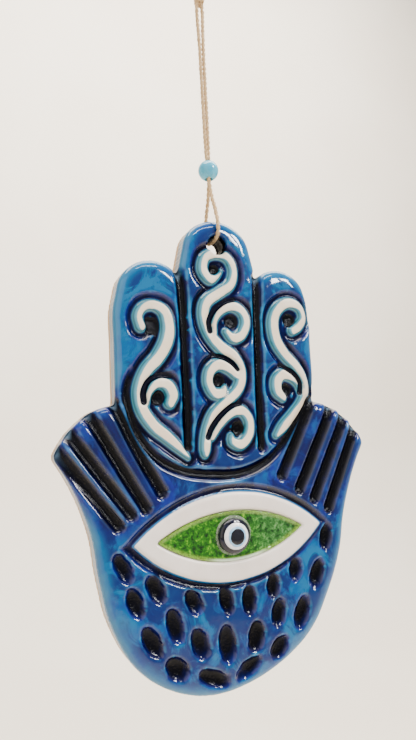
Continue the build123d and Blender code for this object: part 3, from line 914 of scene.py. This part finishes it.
def turned(name, across, up, rings, wobble, seed):
    """A nearly round piece on the face, drawn out of a circle ring by ring: (radius, height)."""
    deselect()
    radius, height = rings[0]
    centre = Vector((across, FACE_Y - height, up + FOOT_Z)) * MM
    bpy.ops.mesh.primitive_circle_add(
        vertices=64, radius=radius * MM, fill_type="NGON",
        location=centre, rotation=(math.pi / 2, 0, 0),
    )
    piece = bpy.context.object
    piece.name = name
    settled(piece)
    edit(piece)
    pick_all()
    for wide, high in rings[1:]:
        rise = Vector((0, -(high - height) * MM, 0))
        centre = centre + rise
        bpy.ops.mesh.extrude_region_move(TRANSFORM_OT_translate={"value": rise})
        bpy.ops.transform.resize(value=(wide / radius, 1, wide / radius), center_override=centre)
        radius, height = wide, high
    face_out()
    done()
    mesh = piece.data
    places = read_places(mesh)
    x = places[:, 0] / MM - across
    z = places[:, 2] / MM - FOOT_Z - up
    turn = np.arctan2(z, x)
    swell = 1 + wobble * (0.6 * np.sin(2 * turn + seed) + 0.4 * np.sin(3 * turn + 2 * seed))
    places[:, 0] = (across + x * swell) * MM
    places[:, 2] = (up + z * swell + FOOT_Z) * MM
    write_places(mesh, places)
    smooth_below(50)
    return piece


def dome_rings(radius, foot, top, low):
    """Rings of a low dome from its foot's rim up to the middle."""
    count = 9
    rings = [(radius * 0.98, low), (radius, low + 0.15), (radius, foot)]
    for i in range(1, count):
        t = i / count * math.pi / 2
        rings.append((radius * math.cos(t), foot + (top - foot) * math.sin(t)))
    return rings


def evil_eye():
    """The glass bead in its four colours, and the glue squeezed out round it."""
    x, y = EYE_BEAD
    for name, node, glass, tones, shift, dome, wobble, seed in (
        ("evil_eye_body", "evil_eye_base", "navy_glass", ("#05070f", "#0a0f2a", 300),
         (0, 0), (6.1, 1.0, 2.55, -0.5), 0.008, 1.0),
        ("evil_eye_white_ring", "evil_eye_white", "white_glass", ("#dfe3e8", "#f2f3f4", 500),
         (0.1, 0), (4.65, 2.08, 2.95, 0.6), 0.015, 2.0),
        ("evil_eye_blue_ring", "evil_eye_blue", "light_blue_glass", ("#7fb4dd", "#a5cdea", 500),
         (0.15, -0.05), (3.5, 2.66, 3.08, 1.2), 0.02, 4.0),
        ("evil_eye_dark_pupil", "evil_eye_pupil", "dark_glass", ("#090a12", "#12131f", 500),
         (0.15, -0.1), (2.75, 2.95, 3.3, 1.6), 0.02, 5.0),
    ):
        piece = turned(name, x + shift[0], y + shift[1], dome_rings(*dome), wobble, seed)
        dress(piece, bead_glass_material(glass, *tones), glass, "hand", node)
    glue = turned("glue_round_bead", x + 0.2, y + 0.15, [
        (6.95, -0.5), (6.9, -0.4), (6.75, -0.25), (6.5, -0.1), (6.3, 0.05), (5.9, 0.1), (5.2, 0.05),
    ], wobble=0.03, seed=0.6)
    dress(glue, glue_material(), "glue", "hand", "bead_glue")


# Twine, bead and knot

def line_through(name, points):
    """A smooth curve with these control points."""
    data = bpy.data.curves.new(name, "CURVE")
    data.dimensions = "3D"
    spline = data.splines.new("NURBS")
    spline.points.add(len(points) - 1)
    for point, place in zip(spline.points, points):
        point.co = (*place, 1)
    spline.order_u = 3
    spline.use_endpoint_u = True
    spline.resolution_u = 24
    return data


def points_along(data, spacing):
    """Evenly spaced points read from a curve."""
    guide = bpy.data.objects.new("guide", data)
    bpy.context.collection.objects.link(guide)
    mesh = bpy.data.meshes.new_from_object(guide)
    path = read_places(mesh)
    bpy.data.objects.remove(guide)
    bpy.data.meshes.remove(mesh)
    steps = np.linalg.norm(np.diff(path, axis=0), axis=1)
    path = path[np.concatenate([[True], steps > 1e-9])]
    reach = np.concatenate([[0], np.cumsum(np.linalg.norm(np.diff(path, axis=0), axis=1))])
    wanted = np.linspace(0, reach[-1], max(2, int(reach[-1] / spacing) + 1))
    return np.column_stack([np.interp(wanted, reach, path[:, k]) for k in range(3)])


def frames_along(path):
    """Two directions across the path at each point, carried along without twisting."""
    along = np.gradient(path, axis=0)
    along /= np.linalg.norm(along, axis=1)[:, None]
    side = np.cross(along[0], (0.0, 1.0, 0.0))
    side /= np.linalg.norm(side)
    sides = [side]
    for direction in along[1:]:
        side = side - direction * side.dot(direction)
        side = side / np.linalg.norm(side)
        sides.append(side)
    sides = np.array(sides)
    return sides, np.cross(along, sides)


def round_curve(name, radius, rounding):
    """An empty curve with a round section."""
    data = bpy.data.curves.new(name, "CURVE")
    data.dimensions = "3D"
    data.bevel_depth = radius
    data.bevel_resolution = rounding
    return data


def lay_plies(plies, path, side, other):
    """Two uneven plies twisted round a path; gives back the path's length."""
    reach = np.arange(len(path)) * np.linalg.norm(path[1] - path[0])
    turn = reach / PLY_TURN * 2 * math.pi
    for ply in (0, math.pi):
        swell = PLY_OFFSET + 0.00003 * np.sin(reach / 0.0031 + ply)
        centre = path + (np.cos(turn + ply) * swell)[:, None] * side
        centre = centre + (np.sin(turn + ply) * swell)[:, None] * other
        spline = plies.splines.new("POLY")
        spline.points.add(len(centre) - 1)
        for i, (point, place) in enumerate(zip(spline.points, centre)):
            point.co = (*place, 1)
            point.radius = 1 + 0.12 * math.sin(i * 0.37 + ply) * math.sin(i * 0.11)
    return reach[-1]


def stand_fibre(hairs, path, side, other, dice):
    """One loose fibre that stands off the yarn somewhere along the path."""
    at = int(dice.integers(2, len(path) - 3))
    angle = dice.uniform(0, 2 * math.pi)
    out = math.cos(angle) * side[at] + math.sin(angle) * other[at]
    ahead = path[at + 1] - path[at - 1]
    ahead = ahead / np.linalg.norm(ahead) * dice.choice((-1, 1))
    length = dice.uniform(0.0012, 0.0034)
    lift = dice.uniform(0.15, 0.75)
    curl = dice.uniform(-0.5, 0.5) * np.cross(out, ahead)
    spline = hairs.splines.new("POLY")
    spline.points.add(4)
    for i, point in enumerate(spline.points):
        t = i / 4
        away = out * (0.00052 + lift * length * t * t * 0.6)
        place = path[at] + away + (ahead + curl * t) * length * t
        point.co = (*place, 1)
        point.radius = 1.2 - 0.7 * t


def spun_yarn(name, paths, fuzz, seed):
    """Yarn along each path, with so many loose fibres on each centimetre."""
    dice = np.random.default_rng(seed)
    plies = round_curve(name, PLY_RADIUS, 2)
    plies.use_fill_caps = True
    hairs = round_curve(name + "_fibres", FIBRE_RADIUS, 0)
    for path in paths:
        side, other = frames_along(path)
        length = lay_plies(plies, path, side, other)
        for _ in range(int(fuzz * length / 0.01)):
            stand_fibre(hairs, path, side, other, dice)
    made = []
    for data in (plies, hairs):
        piece = bpy.data.objects.new(data.name, data)
        bpy.context.collection.objects.link(piece)
        made.append(piece)
    deselect()
    for piece in made:
        piece.select_set(True)
    bpy.context.view_layer.objects.active = made[0]
    bpy.ops.object.convert(target="MESH")
    bpy.ops.object.join()
    piece = bpy.context.object
    piece.name = name
    smooth_below(70)
    return piece


def knot_paths():
    """The wraps of the knot, the two strands inside them, and the two cut tails."""
    wraps = []
    count = 30
    for i in range(count + 1):
        turn = i / count * WRAPS * 2 * math.pi
        height = WRAP_FOOT + WRAP_RISE * i / count
        wraps.append((WRAP_RADIUS * math.cos(turn), WRAP_RADIUS * math.sin(turn), height))
    wraps += [
        (0.0009, -0.0012, 0.0074), (0.0004, 0.0002, 0.0082), (0.0016, 0.0006, 0.0098),
        (0.0030, 0.0004, 0.0120),
    ]
    strands = [
        [
            (-0.0007, 0, 0.0026), (-0.0006, 0, 0.0050), (-0.0007, 0.0002, 0.0076),
            (-0.0017, 0.0001, 0.0098), (-0.0032, -0.0004, 0.0119),
        ],
        [(0.0007, 0, 0.0026), (0.0006, 0, 0.0044), (0.0004, 0.0003, 0.0062), (0.0001, 0.0006, 0.0078)],
    ]
    return [points_along(line_through("knot_line", line), KNOT_SPACING) for line in [wraps, *strands]]


def turquoise_bead(material):
    """The round bead on the twine, with a softened bore."""
    low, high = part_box("turquoise_bead")
    centre = (Vector(low) + Vector(high)) / 2
    radius = (high[0] - low[0]) / 2
    bore, lip = BEAD_BORE, 0.00012
    start = math.asin(bore / radius)
    first = start + 0.06
    deselect()
    bpy.ops.mesh.primitive_circle_add(vertices=64, radius=bore, fill_type="NOTHING", location=centre)
    piece = bpy.context.object
    piece.name = "glass_bead"
    settled(piece)
    edit(piece)
    pick_all()
    half = radius * math.cos(start)
    rings = [(bore, half * 0.5), (bore, half - 0.0003), (bore + lip, half - lip / 2)]
    for i in range(24):
        t = first + (math.pi - 2 * first) * i / 23
        rings.append((radius * math.sin(t), radius * math.cos(t)))
    rings += [(bore + lip, lip / 2 - half), (bore, 0.0003 - half), (bore, -half * 0.5), (bore, 0.0)]
    at, wide = 0.0, bore
    for across, height in rings:
        bpy.ops.mesh.extrude_region_move(TRANSFORM_OT_translate={"value": (0, 0, height - at)})
        middle = centre + Vector((0, 0, height))
        bpy.ops.transform.resize(value=(across / wide, across / wide, 1), center_override=middle)
        at, wide = height, across
    pick_all()
    bpy.ops.mesh.remove_doubles(threshold=1e-6)
    face_out()
    done()
    smooth_below(60)
    return dress(piece, material, "turquoise_glass", "bead", "turquoise_bead")


def hanging():
    """The loop of twine with its knot and bead."""
    jute = jute_material()
    path = points_along(line_through("twine_line", TWINE_ROUTE), YARN_SPACING)
    twine = spun_yarn("jute_twine", [path], fuzz=16, seed=3)
    dress(twine, jute, "jute", "twine", "twine")
    knot = spun_yarn("wound_knot", knot_paths(), fuzz=30, seed=8)
    dress(knot, jute, "jute", "twine", "knot")
    glass = bead_glass_material("turquoise_glass", "#3f9fc0", "#5db6d2", 260)
    bead = turquoise_bead(glass)


# Camera, stage and light

def set_camera():
    """The photograph's viewpoint: a little left of the face, below its middle, looking slightly up."""
    turn, tilt, roll = math.radians(-24.6), math.radians(-7.1), math.radians(-3.0)
    back = Vector((math.sin(turn) * math.cos(tilt), -math.cos(turn) * math.cos(tilt), math.sin(tilt)))
    right = (-back).cross(Vector((0, 0, 1))).normalized()
    up = right.cross(-back)
    across = right * math.cos(roll) + up * math.sin(roll)
    upward = up * math.cos(roll) - right * math.sin(roll)
    deselect()
    bpy.ops.object.camera_add()
    camera = bpy.context.object
    camera.name = "photo_camera"
    camera.data.lens = 27.49
    camera.data.sensor_width = 36
    camera.data.clip_start = 0.01
    turned_to = Matrix((across, upward, back)).transposed().to_4x4()
    place = Vector((-0.0915, -0.1898, -0.17425))
    camera.matrix_world = Matrix.Translation(place) @ turned_to
    bpy.context.scene.camera = camera


def set_stage():
    """A pale floor that sweeps up into a plain backdrop."""
    deselect()
    bpy.ops.mesh.primitive_plane_add(size=1, location=(0, 0, STAGE_Z))
    floor = bpy.context.object
    floor.name = "pale_sweep"
    floor.scale = (*STAGE_SIZE, 1)
    settled(floor)
    edit(floor)
    bpy.ops.mesh.select_all(action="DESELECT")
    done()
    for edge in floor.data.edges:
        ends = [floor.data.vertices[i].co.y for i in edge.vertices]
        edge.select = min(ends) > 1
    edit(floor)
    bpy.ops.mesh.select_mode(type="EDGE")
    bpy.ops.mesh.extrude_edges_move(TRANSFORM_OT_translate={"value": (0, 0, BACKDROP_RISE)})
    done()
    bevel = floor.modifiers.new("cove", "BEVEL")
    bevel.width = COVE_WIDTH
    bevel.segments = 12
    bevel.limit_method = "ANGLE"
    bpy.ops.object.modifier_apply(modifier=bevel.name)
    smooth_below(40)
    floor.data.materials.append(stage_material())


def add_light(name, place, target, size, energy, tint):
    """A soft rectangular light, aimed at a point."""
    deselect()
    bpy.ops.object.light_add(type="AREA", location=place)
    lamp = bpy.context.object
    lamp.name = name
    lamp.data.shape = "RECTANGLE"
    lamp.data.size, lamp.data.size_y = size
    lamp.data.energy = energy
    lamp.data.color = colour(tint)[:3]
    lamp.rotation_euler = (Vector(target) - Vector(place)).to_track_quat("-Z", "Y").to_euler()


def set_light():
    """Soft daylight: two window panes high on the right, fill from the left, and a pale room."""
    middle = (0, 0, -0.167)
    add_light("window_left_pane", (0.60, -0.98, 0.50), middle, (0.12, 0.30), 9, "#ffffff")
    add_light("window_right_pane", (0.80, -0.84, 0.50), middle, (0.12, 0.30), 9, "#ffffff")
    add_light("ceiling_light", (0.12, -0.62, 0.62), (0, 0, -0.18), (0.5, 0.05), 2.2, "#ffffff")
    add_light("wide_fill", (-1.1, -1.2, 0.3), middle, (1.2, 1.6), 8, "#fff8ef")
    add_light("backdrop_light", (0.3, 0.2, 1.6), (0, 1.8, 0.0), (2.5, 1.5), 170, "#fff6ea")
    world = bpy.data.worlds.new("pale_room")
    world.use_nodes = True
    world.node_tree.nodes["Background"].inputs["Color"].default_value = colour("#e9e6e1")
    world.node_tree.nodes["Background"].inputs["Strength"].default_value = 0.8
    bpy.context.scene.world = world


set_camera()
set_stage()
set_light()
hanging()
dress(glazed_hand(), glaze_material(), "glaze", "hand", "hand")
dress(melted_glass(), green_glass_material(), "green_glass", "hand", "eye_glass")
evil_eye()
